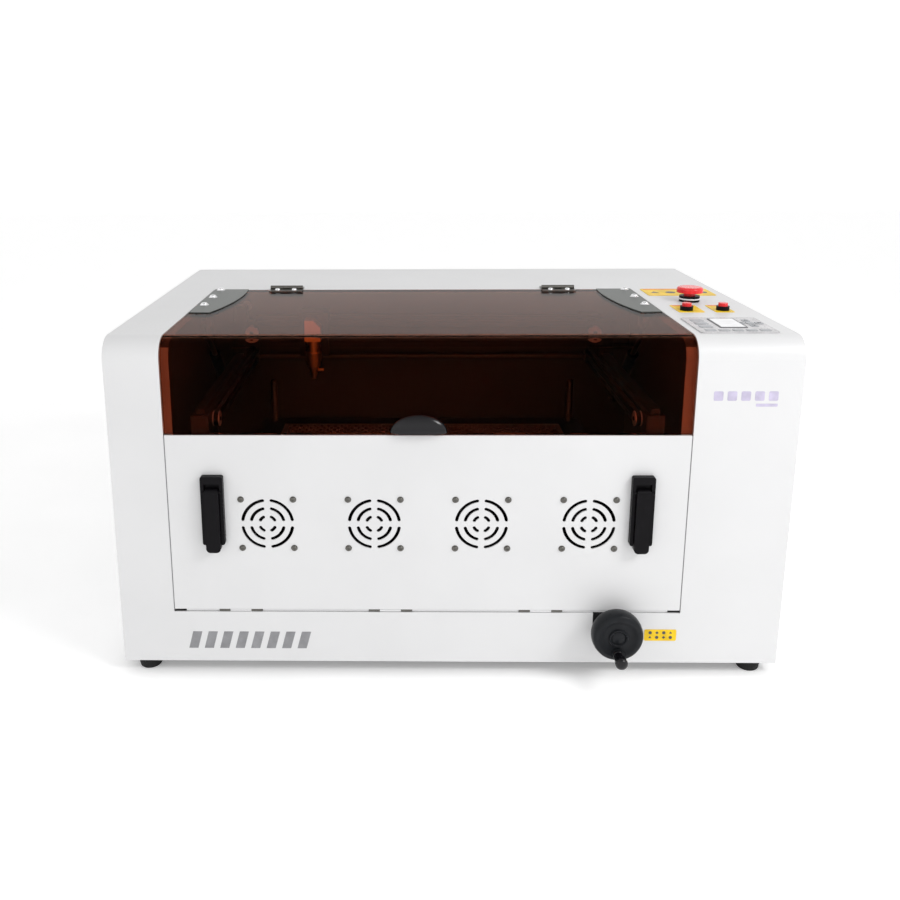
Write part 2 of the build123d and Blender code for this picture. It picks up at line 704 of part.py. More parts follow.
def handwheel_grip():
    x, z = WHEEL_X, WHEEL_Z - GRIP_R
    grip = rod(8.5, (x, FRONT - STICK_OUT, z), (x, WHEEL_Y[0] - 0.5, z))
    grip = fillet(grip.edges().sort_by(Axis.Y)[0], 4)
    return grip - rod(3 + RUN, (x, FRONT - STICK_OUT + 3.5, z), (x, WHEEL_Y[0], z))


# ================= gantry =================
def rail_beams():
    beams = []
    for x in RAIL_X:
        beam = block(around(x, 12), (FRONT + 10, PARTITION_Y), (RAIL_Z[0] - 30, RAIL_Z[0]))
        beam -= rod(6, (x - 13, SHAFT_Y, SHAFT_Z), (x + 13, SHAFT_Y, SHAFT_Z))
        beams.append(beam)
        beams.append(block(around(x, 12), (FRONT + 10, FRONT + 28), (FLOOR, RAIL_Z[0] - 30)))
    return beams


def rails():
    return [block(around(x, 6), (FRONT + 14, PARTITION_Y - 4), RAIL_Z) for x in RAIL_X]


def gantry_carriages():
    carriages = []
    for x in RAIL_X:
        carriage = block(around(x, 14), around(GANTRY_Y, 22), (RAIL_Z[0] + 3, BEAM_Z[0]))
        carriage -= block(around(x, 6.1), around(GANTRY_Y, 30), (RAIL_Z[0], RAIL_Z[1] + 0.1))
        carriages.append(carriage)
    return carriages


def gantry_beam():
    beam = block(BEAM_X, around(GANTRY_Y, 10), BEAM_Z)
    for z in (408, 428):
        beam -= block((BEAM_X[0] - 1, BEAM_X[1] + 1), (GANTRY_Y + 6, GANTRY_Y + 11), around(z, 3))
    return beam


def x_rail():
    return block((-312, 246), around(GANTRY_Y, 6), (BEAM_Z[1], BEAM_Z[1] + 8))


def x_motor():
    x = X_PULLEYS[1]
    motor = block(around(x, 21), (GANTRY_Y + 10, GANTRY_Y + 48), around(X_BELT_Z, 21))
    return chamfer(motor.edges().filter_by(Axis.Y), 4)


def toothed_pulley(x, z, y):
    """A flanged pulley on a line along Y."""
    pulley = rod(TOOTHED_R, (x, y[0], z), (x, y[1], z)) + rod(TOOTHED_R + 2.5, (x, y[0], z), (x, y[0] + 1, z))
    return pulley + rod(TOOTHED_R + 2.5, (x, y[1] - 1, z), (x, y[1], z))


def x_belt():
    """A flat loop in front of the beam, round the motor's pulley and the idler."""
    length = X_PULLEYS[1] - X_PULLEYS[0]
    inner = TOOTHED_R + FREE
    loop = SlotCenterToCenter(length, 2 * (inner + BELT_T)) - SlotCenterToCenter(length, 2 * inner)
    middle = sum(X_PULLEYS) / 2
    return Pos(middle, 0, X_BELT_Z) * upright(loop, (GANTRY_Y - 18.7, GANTRY_Y - 12.7))


def x_pins():
    return [rod(3, (x, GANTRY_Y - 22, X_BELT_Z), (x, GANTRY_Y - 10, X_BELT_Z)) for x in X_PULLEYS]


def x_pulley(x):
    y = (GANTRY_Y - 20, GANTRY_Y - 11.4)
    return toothed_pulley(x, X_BELT_Z, y) - rod(3 + RUN, (x, y[0] - 1, X_BELT_Z), (x, y[1] + 1, X_BELT_Z))


def y_belts():
    loops = []
    length = SHAFT_Y - IDLER_Y
    inner = TOOTHED_R + FREE
    for x in Y_BELT_X:
        loop = SlotCenterToCenter(length, 2 * (inner + BELT_T)) - SlotCenterToCenter(length, 2 * inner)
        solid = extrude(Plane.YZ * loop, 6)
        loops.append(Pos(x - 3, (SHAFT_Y + IDLER_Y) / 2, SHAFT_Z) * solid)
    return loops


def drive_shaft():
    shaft = rod(4, (RAIL_X[0] + 12.5, SHAFT_Y, SHAFT_Z), (RAIL_X[1] + 22, SHAFT_Y, SHAFT_Z))
    for x in Y_BELT_X:
        shaft += rod(TOOTHED_R, (x - 4, SHAFT_Y, SHAFT_Z), (x + 4, SHAFT_Y, SHAFT_Z))
        for edge in (x - 4.6, x + 3.6):
            shaft += rod(TOOTHED_R + 2.5, (edge, SHAFT_Y, SHAFT_Z), (edge + 1, SHAFT_Y, SHAFT_Z))
    return shaft


def y_idler(x):
    y = IDLER_Y
    wheel = rod(TOOTHED_R, (x - 4, y, SHAFT_Z), (x + 4, y, SHAFT_Z))
    for edge in (x - 4.6, x + 3.6):
        wheel += rod(TOOTHED_R + 2.5, (edge, y, SHAFT_Z), (edge + 1, y, SHAFT_Z))
    return wheel - rod(3 + RUN, (x - 6, y, SHAFT_Z), (x + 6, y, SHAFT_Z))


def y_idler_pins():
    y = IDLER_Y
    pairs = zip(Y_BELT_X, (1, -1))
    return [rod(3, (x - way * 6, y, SHAFT_Z), (x + way * 6, y, SHAFT_Z)) for x, way in pairs]


def y_motor():
    motor = block((RAIL_X[1] + 23, RAIL_X[1] + 59), around(SHAFT_Y, 21), around(SHAFT_Z, 21))
    return chamfer(motor.edges().filter_by(Axis.X), 4)


def beam_mirror():
    """The mirror at the beam's left end that turns the light along the beam."""
    return mirror_mount(RAIL_X[0], GANTRY_Y, 451, BEAM_Z[1])


# ================= laser head =================
def head_carriage():
    carriage = block(around(HEAD_X, 24), around(GANTRY_Y, 14), (BEAM_Z[1] + 3, BEAM_Z[1] + 18))
    carriage -= block(around(HEAD_X, 30), around(GANTRY_Y, 6.1), (BEAM_Z[1], BEAM_Z[1] + 8.1))
    carriage += block(around(HEAD_X, 24), (GANTRY_Y - 30, GANTRY_Y - 13), (BEAM_Z[1] + 12, BEAM_Z[1] + 18))
    carriage += block(around(HEAD_X, 24), (GANTRY_Y - 30, GANTRY_Y - 26), (385, BEAM_Z[1] + 18))
    return carriage + block(around(HEAD_X, 10), (GANTRY_Y - 27, GANTRY_Y - 20.5), (385, 404))


def head_mirror():
    y = (GANTRY_Y - 56, GANTRY_Y - 30)
    mount = block(around(HEAD_X, 13), y, (420, 448))
    return chamfer(mount.edges().filter_by(Axis.Y).sort_by(Axis.X)[-2:].sort_by(Axis.Z)[-1], 12)


def lens_tube():
    x, y = HEAD_X, GANTRY_Y - 43
    return rod(11, (x, y, 372), (x, y, 420)) + rod(13, (x, y, 380), (x, y, 396))


def nozzle():
    x, y = HEAD_X, GANTRY_Y - 43
    cone = Pos(x, y, 361) * Cone(3, 9, 22)
    return cone + rod(2.5, (x + 5, y, 365), (x + 16, y, 365))


# ================= all nodes =================
def numbered(name, shapes):
    """Separate nodes for repeated pieces that move on their own."""
    return {f"{name}_{k + 1}": shape for k, shape in enumerate(shapes)}


def cabinet_nodes():
    return {
        "main_cover": main_cover(),
        "side_panels": [side_panel(-1), side_panel(1)],
        "base_pan": base_pan(),
        "rear_panel": rear_panel(),
        "access_cover": [access_cover()] + access_screws(),
        "inner_frame": opening_frame() + [inner_wall(WALL_LEFT), inner_wall(WALL_RIGHT)] + strut_feet(),
        "tube_partition": partition(),
        "rubber_feet": rubber_feet(),
        "exhaust_duct": exhaust_duct(),
        "exhaust_rotor": fan_blades(DUCT_X, (248, 272), DUCT_Z, 46, 18, 7),
        "rear_fittings": [power_inlet()] + water_fittings(),
        "power_rocker": rocker(),
        "laser_tube": laser_tube(),
        "tube_clamps": tube_clamps() + [mirror_mount(RAIL_X[0], TUBE_Y, 450, FLOOR)],
        "electronics": [laser_power_supply(), control_board()],
    }


def control_nodes():
    return {
        "label_plates": label_plates(),
        "button_collars": [estop_collar()] + button_bezels(),
        "estop_button": estop_button(),
        "control_panel": control_panel(),
    } | numbered("push_button", [push_button(x, y) for x, y in BUTTONS])


def lid_nodes():
    return {
        "lid_window": lid_window(),
        "lid_pull": lid_pull(),
        "corner_plates": corner_plates(),
        "corner_bolts": corner_bolts(),
        "lid_hinge_leaves": [lid_hinge(x, True) for x in LID_HINGES] + hinge_screws(-1) + strut_brackets(),
        "top_hinge_leaves": [lid_hinge(x, False) for x in LID_HINGES] + hinge_screws(1) + lid_hinge_pins(),
        "strut_cylinders": [strut_cylinder(x) for x in STRUT_X],
        "strut_rods": [strut_rod(x) for x in STRUT_X],
    }


def door_nodes():
    return {
        "front_door": [front_door()] + door_hinge(True) + door_lips(),
        "fan_frames": fan_frames(),
        "fan_screws": fan_screws(),
        "latch_housings": latch_housings() + latch_pins(),
        "beam_hinge_leaves": door_hinge(False) + door_hinge_pins(),
    } | numbered("fan_rotor", [fan_rotor(x) for x in FAN_X]) \
      | numbered("latch_lever", [latch_lever(x) for x in LATCH_X])


def lift_nodes():
    return {
        "table_frame": [table_frame()] + table_nuts(),
        "honeycomb": honeycomb(),
        "drive_mounts": screw_bearings() + [gearbox(), y_motor()] + y_idler_pins(),
        "handwheel": [handwheel(), handwheel_shaft(), grip_pin()],
        "handwheel_grip": handwheel_grip(),
    } | numbered("lead_screw", [lead_screw(x, y) for x in SCREW_X for y in SCREW_Y])


def gantry_nodes():
    return {
        "rail_beams": rail_beams() + rails(),
        "gantry_beam": [gantry_beam(), x_rail(), beam_mirror()] + gantry_carriages(),
        "x_motor": [x_motor()] + x_pins(),
        "x_belt": x_belt(),
        "toothed_belts": y_belts() + [lift_belt()],
        "drive_shaft": drive_shaft(),
        "y_idlers": [y_idler(x) for x in Y_BELT_X],
        "head_carriage": head_carriage(),
        "laser_head": [head_mirror(), lens_tube(), nozzle()],
    } | numbered("x_pulley", [x_pulley(x) for x in X_PULLEYS])


nodes = cabinet_nodes() | control_nodes() | lid_nodes() | door_nodes() | lift_nodes() | gantry_nodes()
os.makedirs("parts", exist_ok=True)
for name, shape in nodes.items():
    solid = Compound(children=shape) if isinstance(shape, list) else shape
    export_step(solid, f"parts/{name}.step")
print(len(nodes), "nodes")
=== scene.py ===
import json
from math import cos, pi, radians, sin, sqrt

import bmesh
import bpy
from mathutils import Matrix, Vector


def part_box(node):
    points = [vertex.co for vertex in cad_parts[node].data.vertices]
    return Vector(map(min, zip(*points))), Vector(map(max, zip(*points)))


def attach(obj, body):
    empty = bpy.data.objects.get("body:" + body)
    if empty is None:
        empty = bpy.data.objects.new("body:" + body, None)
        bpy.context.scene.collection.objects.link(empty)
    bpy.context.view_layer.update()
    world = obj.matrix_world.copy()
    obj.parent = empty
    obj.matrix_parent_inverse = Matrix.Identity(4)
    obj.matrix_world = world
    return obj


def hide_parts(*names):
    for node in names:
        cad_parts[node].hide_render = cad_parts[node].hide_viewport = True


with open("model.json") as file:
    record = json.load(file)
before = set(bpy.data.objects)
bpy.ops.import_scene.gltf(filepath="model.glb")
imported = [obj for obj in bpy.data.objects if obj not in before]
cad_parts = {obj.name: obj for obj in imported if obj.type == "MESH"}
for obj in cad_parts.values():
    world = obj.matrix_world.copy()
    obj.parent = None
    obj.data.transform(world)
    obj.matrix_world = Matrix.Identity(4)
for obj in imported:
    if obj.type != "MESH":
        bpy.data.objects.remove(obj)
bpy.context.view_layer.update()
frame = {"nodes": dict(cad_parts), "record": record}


# ================= where things are, from the frame =================
def low(node):
    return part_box(node)[0]


def high(node):
    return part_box(node)[1]


def middle(node):
    return (low(node) + high(node)) / 2


TOP = high("main_cover").z              # the cabinet's top plane
FRONT = low("main_cover").y             # the cabinet's front plane
BAY_X = middle("lid_window").x
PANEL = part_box("control_panel")
LABEL_TOP = high("label_plates").z       # the top of the labels on the cabinet
BUTTON_BACK = -0.083                    # the bars near the rear edge of the button labels
HINGE_X = 0.230                         # each lid hinge, from the middle of the lid
HINGE_Y = 0.071                         # the line that the lid turns about
LEAF_T = 0.002                          # the top of a hinge leaf over the cabinet
FRONT_LABEL = (0.274, 0.0527)           # the lower left corner of the label on the front
LABEL_T = 0.0008
INK_T = 0.0002                          # the thickness of printed marks, and their sloped edge
INK_EDGE = 0.00005
KEY_T = 0.0007                          # a key on the control panel
MARK_Z = 0.038                          # the lower edge of the marks on the front beam


# ================= camera, light, floor =================
def camera():
    """A three-quarter front view, a little from above."""
    place = Vector((-0.0622, -1.4543, 0.7566))
    yaw, pitch, roll = -0.017, 0.228, -0.005
    ahead = Vector((sin(yaw), cos(yaw), 0))
    side = Vector((cos(yaw), -sin(yaw), 0))
    forward = ahead * cos(pitch) - Vector((0, 0, sin(pitch)))
    up = Vector((0, 0, cos(pitch))) + ahead * sin(pitch)
    right = side * cos(roll) + up * sin(roll)
    up = up * cos(roll) - side * sin(roll)
    data = bpy.data.cameras.new("camera")
    data.lens = 36.36
    data.sensor_width = 36
    data.shift_x = 0.0676
    data.shift_y = -0.1239
    made = bpy.data.objects.new("camera", data)
    turn = Matrix((right, up, -forward)).transposed().to_4x4()
    made.matrix_world = Matrix.Translation(place) @ turn
    bpy.context.collection.objects.link(made)
    bpy.context.scene.camera = made


def area_light(name, place, aim, size, power, colour=(1, 1, 1)):
    data = bpy.data.lights.new(name, "AREA")
    data.shape = "RECTANGLE"
    data.size, data.size_y = size
    data.energy = power
    data.color = colour
    made = bpy.data.objects.new(name, data)
    made.location = place
    made.rotation_euler = (Vector(aim) - Vector(place)).to_track_quat("-Z", "Y").to_euler()
    bpy.context.collection.objects.link(made)


def studio():
    world = bpy.data.worlds.new("studio")
    bpy.context.scene.world = world
    world.use_nodes = True
    tree = world.node_tree
    back = tree.nodes["Background"]
    place = tree.nodes.new("ShaderNodeTexCoord")
    height = tree.nodes.new("ShaderNodeSeparateXYZ")
    sky = tree.nodes.new("ShaderNodeValToRGB")
    for element, spot, level in zip(sky.color_ramp.elements, (0.25, 1.0), (1.0, 0.48)):
        element.position = spot
        element.color = (level, level, level, 1)
    tree.links.new(place.outputs["Generated"], height.inputs["Vector"])
    tree.links.new(height.outputs["Z"], sky.inputs["Fac"])
    tree.links.new(sky.outputs["Color"], back.inputs["Color"])
    back.inputs["Strength"].default_value = 1.12
    bpy.context.scene.view_settings.view_transform = "Standard"
    area_light("key", (1.3, -1.2, 1.5), (0, 0, 0.3), (0.7, 0.6), 15)
    area_light("fill", (-1.8, -1.7, 1.6), (0, 0, 0.3), (1.8, 1.8), 1.5)
    bpy.ops.mesh.primitive_plane_add(size=14, location=(0, 0, 0))
    floor = bpy.context.active_object
    floor.name = "floor"
    floor.data.materials.append(coated("floor_white", (0.98, 0.98, 0.98), 0.6, 0.0))
    paint = floor.data.materials[0].node_tree.nodes["Principled BSDF"]
    paint.inputs["Emission Color"].default_value = (1, 1, 1, 1)
    paint.inputs["Emission Strength"].default_value = 0.2


# ================= materials =================
class Maker:
    """A procedural material: one Principled shader, with noise for colour, roughness and relief."""

    def __init__(self, name, roughness, metallic=0.0):
        self.material = bpy.data.materials.new(name)
        self.material.use_nodes = True
        self.tree = self.material.node_tree
        self.shader = self.tree.nodes["Principled BSDF"]
        self.shader.inputs["Roughness"].default_value = roughness
        self.shader.inputs["Metallic"].default_value = metallic
        self.place = self.tree.nodes.new("ShaderNodeTexCoord").outputs["Object"]

    def link(self, source, target):
        self.tree.links.new(source, target)

    def noise(self, scale, stretch=(1, 1, 1), detail=3.0):
        mapping = self.tree.nodes.new("ShaderNodeMapping")
        mapping.inputs["Scale"].default_value = stretch
        self.link(self.place, mapping.inputs["Vector"])
        noise = self.tree.nodes.new("ShaderNodeTexNoise")
        noise.inputs["Scale"].default_value = scale
        noise.inputs["Detail"].default_value = detail
        self.link(mapping.outputs["Vector"], noise.inputs["Vector"])
        return noise.outputs["Fac"]

    def ramp(self, source, colours, spots=(0.35, 0.65)):
        ramp = self.tree.nodes.new("ShaderNodeValToRGB")
        for element, colour, spot in zip(ramp.color_ramp.elements, colours, spots):
            element.color = (*colour, 1)
            element.position = spot
        self.link(source, ramp.inputs["Fac"])
        return ramp.outputs["Color"]

    def colour(self, source, colours, spots=(0.35, 0.65)):
        self.link(self.ramp(source, colours, spots), self.shader.inputs["Base Color"])

    def rough(self, source, limits):
        spread = self.tree.nodes.new("ShaderNodeMapRange")
        spread.inputs["From Min"].default_value = 0.3
        spread.inputs["From Max"].default_value = 0.7
        spread.inputs["To Min"].default_value = limits[0]
        spread.inputs["To Max"].default_value = limits[1]
        self.link(source, spread.inputs["Value"])
        self.link(spread.outputs["Result"], self.shader.inputs["Roughness"])

    def relief(self, source, strength, depth):
        bump = self.tree.nodes.new("ShaderNodeBump")
        bump.inputs["Strength"].default_value = strength
        bump.inputs["Distance"].default_value = depth
        self.link(source, bump.inputs["Height"])
        self.link(bump.outputs["Normal"], self.shader.inputs["Normal"])


def shades(colour, spread):
    """Two colours, a little under and over the given one."""
    return [tuple(max(0.0, min(1.0, c * (1 + way * spread))) for c in colour) for way in (-1, 1)]


def coated(name, colour, roughness=0.42, peel=0.12):
    """Powder coat or paint: fine orange peel and a slightly uneven gloss."""
    made = Maker(name, roughness)
    made.colour(made.noise(7, detail=4), shades(colour, 0.015))
    made.rough(made.noise(260), (roughness - 0.05, roughness + 0.07))
    made.relief(made.noise(1400, detail=2), peel, 0.0002)
    return made.material


def moulded(name, colour, roughness=0.45, grain=0.25, scale=2200, coat=0.0, shine=0.5):
    """Moulded plastic or rubber with a fine eroded grain."""
    made = Maker(name, roughness)
    made.colour(made.noise(60), shades(colour, 0.12))
    made.rough(made.noise(400), (roughness - 0.07, roughness + 0.07))
    made.relief(made.noise(scale, detail=2), grain, 0.0002)
    made.shader.inputs["Specular IOR Level"].default_value = shine
    made.shader.inputs["Coat Weight"].default_value = coat
    made.shader.inputs["Coat Roughness"].default_value = 0.08
    return made.material


def metal(name, colour, roughness=0.3, stretch=(1, 30, 30), brushing=0.12):
    """Metal with fine brush or turning lines along one direction."""
    made = Maker(name, roughness, 1.0)
    lines = made.noise(120, stretch, 5)
    made.colour(lines, shades(colour, 0.07))
    made.rough(lines, (roughness - 0.06, roughness + 0.1))
    made.relief(lines, brushing, 0.0001)
    return made.material


def smoked_acrylic():
    """Amber-brown smoked acrylic, polished, with the faintest ripple and wiping haze."""
    made = Maker("smoked_acrylic", 0.03)
    made.colour(made.noise(3), shades(ACRYLIC, 0.04))
    made.shader.inputs["Transmission Weight"].default_value = 1.0
    made.shader.inputs["IOR"].default_value = 1.06
    made.rough(made.noise(25), (0.015, 0.05))
    made.relief(made.noise(9, detail=1), 0.03, 0.001)
    return made.material


def frame_painted_shade_and_land():
    """Inner walls coloured near black as painted shade of the dim interior, with the strips that the lid and
    the door close on left white.
    """
    made = Maker("frame_painted_shade_and_land", 0.5)
    place = made.tree.nodes.new("ShaderNodeSeparateXYZ")
    made.link(made.place, place.inputs["Vector"])
    # The front strip keeps the land colour; everything deeper in gets near-black painted shade.
    front = made.tree.nodes.new("ShaderNodeMath")
    front.operation = "LESS_THAN"
    front.inputs[1].default_value = FRONT + 0.012
    made.link(place.outputs["Y"], front.inputs[0])
    dark = made.ramp(made.noise(7), shades((0.035, 0.035, 0.038), 0.05))
    mix = made.tree.nodes.new("ShaderNodeMixRGB")
    mix.inputs["Color2"].default_value = (*LAND, 1)
    made.link(front.outputs["Value"], mix.inputs["Fac"])
    made.link(dark, mix.inputs["Color1"])
    made.link(mix.outputs["Color"], made.shader.inputs["Base Color"])
    made.rough(made.noise(260), (0.45, 0.57))
    return made.material


def clear_glass():
    made = Maker("tube_glass", 0.02)
    made.colour(made.noise(20), shades((0.9, 0.95, 0.95), 0.02))
    made.shader.inputs["Transmission Weight"].default_value = 1.0
    made.shader.inputs["IOR"].default_value = 1.47
    made.rough(made.noise(30), (0.01, 0.04))
    return made.material


ACRYLIC = (0.64, 0.27, 0.17)
LAND = (0.34, 0.34, 0.34)
WHITE = (0.68, 0.68, 0.685)


def palette():
    return {
        "white_coat": coated("white_coat", WHITE),
        "smoked_acrylic": smoked_acrylic(),
        "steel": metal("steel", (0.155, 0.15, 0.138), 0.34),
        "chrome": metal("chrome", (0.85, 0.85, 0.86), 0.1, (6, 6, 6), 0.04),
        "black_anodised": metal("black_anodised", (0.05, 0.05, 0.055), 0.36, (1, 40, 40)),
        "plate_grey": metal("plate_grey", (0.14, 0.148, 0.14), 0.42),
        "aluminium": metal("aluminium", (0.72, 0.73, 0.75), 0.34, (1, 40, 40)),
        "black_plastic": moulded("black_plastic", (0.0045, 0.004, 0.005), 0.38, shine=0.10),
        "gloss_black": moulded("gloss_black", (0.004, 0.0035, 0.005), 0.16, 0.05, 600, 0.12, 0.3),
        "wheel_grey": moulded("wheel_grey", (0.010, 0.011, 0.013), 0.34, 0.2, 1800, 0.0, 0.16),
        "rubber": moulded("rubber", (0.012, 0.012, 0.012), 0.7, 0.5, shine=0.2),
        "red_plastic": moulded("red_plastic", (0.74, 0.022, 0.026), 0.25, 0.05, 900, 0.3, 0.3),
        "yellow_label": moulded("yellow_label", (0.82, 0.54, 0.018), 0.4, 0.08, 700, shine=0.2),
        "panel_film": moulded("panel_film", (0.50, 0.49, 0.50), 0.30, 0.15, 1500, 0.1, 0.3),
        "tube_glass": clear_glass(),
        "dark_metal": coated("dark_metal", (0.035, 0.035, 0.04), 0.4),
        "brass": metal("brass", (0.72, 0.5, 0.2), 0.28, (4, 4, 60)),
        # painted shade: the base pan and tube partition are coloured near black for the dim interior
        "inner_painted_shade": coated("inner_painted_shade", (0.035, 0.035, 0.038), 0.5),
        # painted shade: the inner frame is coloured near black behind its front strip
        "frame_painted_shade_and_land": frame_painted_shade_and_land(),
        "mark_white": moulded("mark_white", (0.80, 0.80, 0.80), 0.4, 0.05, 900),
        "mark_grey": moulded("mark_grey", (0.24, 0.24, 0.25), 0.45, 0.05, 900),
        "mark_pale": moulded("mark_pale", (0.52, 0.48, 0.62), 0.45, 0.05, 900, shine=0.2),
        "mark_dark": moulded("mark_dark", (0.06, 0.06, 0.065), 0.4, 0.05, 900),
        "mark_orange": moulded("mark_orange", (0.75, 0.16, 0.03), 0.4, 0.05, 900),
        "key_grey": moulded("key_grey", (0.30, 0.31, 0.33), 0.35, 0.1, 1200, 0.2),
        "screen": moulded("screen", (0.68, 0.68, 0.70), 0.08, 0.02, 300, 0.8),
    }


# The base pan, tube partition and inner frame get near-black painted shade; the head carriage is black
# anodised.
INSIDE = {"base_pan": "inner_painted_shade", "tube_partition": "inner_painted_shade", "inner_frame": "frame_painted_shade_and_land",
          "head_carriage": "black_anodised"}


def dress(mats):
    """Gives every CAD node its material."""
    slots = {part["node"]: part["material_slot"] for part in frame["record"]["subparts"]}
    for node, piece in frame["nodes"].items():
        name = INSIDE.get(node, slots[node])
        piece.data.materials.clear()
        piece.data.materials.append(mats[name])


def soften(node, width, limit=40):
    """A small rounded edge on a CAD node's sharp edges."""
    bevel = frame["nodes"][node].modifiers.new("soft_edge", "BEVEL")
    bevel.width = width
    bevel.segments = 2
    bevel.limit_method = "ANGLE"
    bevel.angle_limit = radians(limit)
    bevel.harden_normals = False


# ================= mesh helpers =================
def add_mesh(name, verts, faces, material, body, smooth=35, slot=None):
    """A piece from points and faces, riding on a body."""
    mesh = bpy.data.meshes.new(name)
    mesh.from_pydata([tuple(v) for v in verts], [], faces)
    shape = bmesh.new()
    shape.from_mesh(mesh)
    bmesh.ops.remove_doubles(shape, verts=shape.verts, dist=1e-6)
    bmesh.ops.recalc_face_normals(shape, faces=shape.faces)
    shape.to_mesh(mesh)
    shape.free()
    mesh.shade_smooth()
    mesh.set_sharp_from_angle(angle=radians(smooth))
    made = bpy.data.objects.new(name, mesh)
    bpy.context.collection.objects.link(made)
    mesh.materials.append(MATS[material])
    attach(made, body)
    return made


def along(axis):
    """A function that puts (radial u, radial v, height) into the frame for an axis X, Y or Z."""
    return {
        "X": lambda u, v, h: Vector((h, u, v)),
        "Y": lambda u, v, h: Vector((u, h, v)),
        "Z": lambda u, v, h: Vector((u, v, h)),
    }[axis]


def ring_surface(rings, closed=False):
    """Points and quads between rings of equal length; the ends are closed with flat faces."""
    verts = [point for ring in rings for point in ring]
    count = len(rings[0])
    faces = []
    for k in range(len(rings) - 1 + closed):
        after = (k + 1) % len(rings)
        for i in range(count):
            j = (i + 1) % count
            faces.append((k * count + i, k * count + j, after * count + j, after * count + i))
    if not closed:
        faces.append(tuple(range(count)))
        faces.append(tuple(range((len(rings) - 1) * count, len(rings) * count)))
    return verts, faces


def lathe(profile, centre, axis="Z", steps=48):
    """A turned shape: profile is (radius, height) pairs in metres, from end to end."""
    put = along(axis)
    rings = []
    for radius, height in profile:
        ring = [put(radius * cos(turn), radius * sin(turn), height) for turn in angles(steps)]
        rings.append([Vector(centre) + point for point in ring])
    return ring_surface(rings)


def merge(*parts):
    """One list of points and faces from several."""
    verts, faces = [], []
    for more, loops in parts:
        start = len(verts)
        verts += more
        faces += [tuple(i + start for i in loop) for loop in loops]
    return verts, faces


def rounded_outline(x, y, radius, steps=6):
    """The outline of a rounded rectangle between two pairs of limits."""
    points = []
    corners = ((x[1], y[1], 0), (x[0], y[1], 90), (x[0], y[0], 180), (x[1], y[0], 270))
    for cx, cy, start in corners:
        cx += -radius if cx == x[1] else radius
        cy += -radius if cy == y[1] else radius
        for i in range(steps + 1):
            turn = radians(start + 90 * i / steps)
            points.append((cx + radius * cos(turn), cy + radius * sin(turn)))
    return points


def plate(outline, base, height, axis="Z", edge=0.0003):
    """A flat plate of any outline with a small sloped edge, standing `height` from `base` along an axis."""
    put = along(axis)
    middle_u = sum(p[0] for p in outline) / len(outline)
    middle_v = sum(p[1] for p in outline) / len(outline)
    size = max(abs(p[0] - middle_u) + abs(p[1] - middle_v) for p in outline)
    shrink = 1 - edge / max(size, edge * 2)
    inset = [(middle_u + (u - middle_u) * shrink, middle_v + (v - middle_v) * shrink) for u, v in outline]
    way = 1 if height > 0 else -1
    shoulder = base + height - way * min(edge, abs(height) / 2)
    levels = [(outline, base), (outline, shoulder), (inset, base + height)]
    return ring_surface([[put(u, v, h) for u, v in shape] for shape, h in levels])


# ================= screws =================
def cross_radius(turn, reach, half):
    """The edge of a cross recess in a direction."""
    turn = (turn + pi / 4) % (pi / 2) - pi / 4
    along_arm = reach / cos(turn)
    side = half / abs(sin(turn)) if abs(sin(turn)) > 1e-6 else along_arm
    across = half / cos(turn - (pi / 2 if turn > 0 else -pi / 2)) if abs(turn) > 0.01 else reach
    return max(min(along_arm, side), min(abs(across), half * sqrt(2)))


def dome_screw(centre, radius, height, axis="Z", way=1, recess=0.5, steps=48):
    """A dome head with a cross recess; `way` is the side that its top looks to."""
    put = along(axis)
    rings = []
    for share, rise in ((1.0, 0.0), (1.0, 0.25), (0.96, 0.5), (0.85, 0.75), (0.7, 0.92), (0.6, 0.97)):
        wide = radius * share
        rings.append([(wide * cos(turn), wide * sin(turn), rise * height) for turn in angles(steps)])
    for shrink, rise in ((1.0, 1.0), (0.85, 0.55)):
        ring = []
        for turn in angles(steps):
            reach = cross_radius(turn, radius * recess, radius * 0.13) * shrink
            ring.append((reach * cos(turn), reach * sin(turn), rise * height))
        rings.append(ring)
    return ring_surface([[Vector(centre) + put(u, v, h * way) for u, v, h in ring] for ring in rings])


def angles(steps):
    return [2 * pi * i / steps for i in range(steps)]


def fan_screws():
    """Sixteen cross-head screws with washers, on the corners of the four fans."""
    lo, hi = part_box("fan_screws")
    radius = 0.0037
    hole_step = 0.0715
    washer = [(0.0001, 0), (0.0045, 0), (0.0045, -0.0006), (0.0001, -0.0006)]
    columns = [middle(f"fan_rotor_{k}").x for k in (1, 2, 3, 4)]
    parts = []
    for x in columns:
        for side in (-1, 1):
            for z in (lo.z + radius, hi.z - radius):
                place = (x + side * hole_step / 2, FRONT, z)
                parts.append(lathe(washer, place, "Y", 32))
                parts.append(dome_screw((place[0], FRONT - 0.0006, z), radius, 0.0020, "Y", -1))
    made = add_mesh("fan_screw_heads", *merge(*parts), "steel", "door")
    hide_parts("fan_screws")


def corner_bolts():
    """Dome bolts with washers on the lid's corner plates."""
    lo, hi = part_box("corner_bolts")
    radius = 0.0055
    ys = (lo.y + radius, (lo.y + hi.y) / 2, hi.y - radius)
    washer = [(0.0001, 0), (0.0068, 0), (0.0068, 0.0005), (0.0064, 0.0008), (0.0001, 0.0008)]
    parts = []
    for x in (lo.x + radius, hi.x - radius):
        for y in ys:
            parts.append(lathe(washer, (x, y, lo.z), "Z", 40))
            parts.append(dome_screw((x, y, lo.z + 0.0008), 0.0052, 0.0034))
    made = add_mesh("corner_bolt_heads", *merge(*parts), "chrome", "lid")
    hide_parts("corner_bolts")


def hinge_screws():
    """Bright cross-head screws over the plain heads on both leaves of the lid's hinges."""
    for body, side in (("cabinet", 1), ("lid", -1)):
        parts = []
        for x in (BAY_X - HINGE_X, BAY_X + HINGE_X):
            for way in (-0.014, 0.014):
                place = (x + way, HINGE_Y + side * 0.013, TOP + LEAF_T)
                parts.append(dome_screw(place, 0.0043, 0.0029))
        add_mesh(f"hinge_screw_heads_{body}", *merge(*parts), "chrome", body)


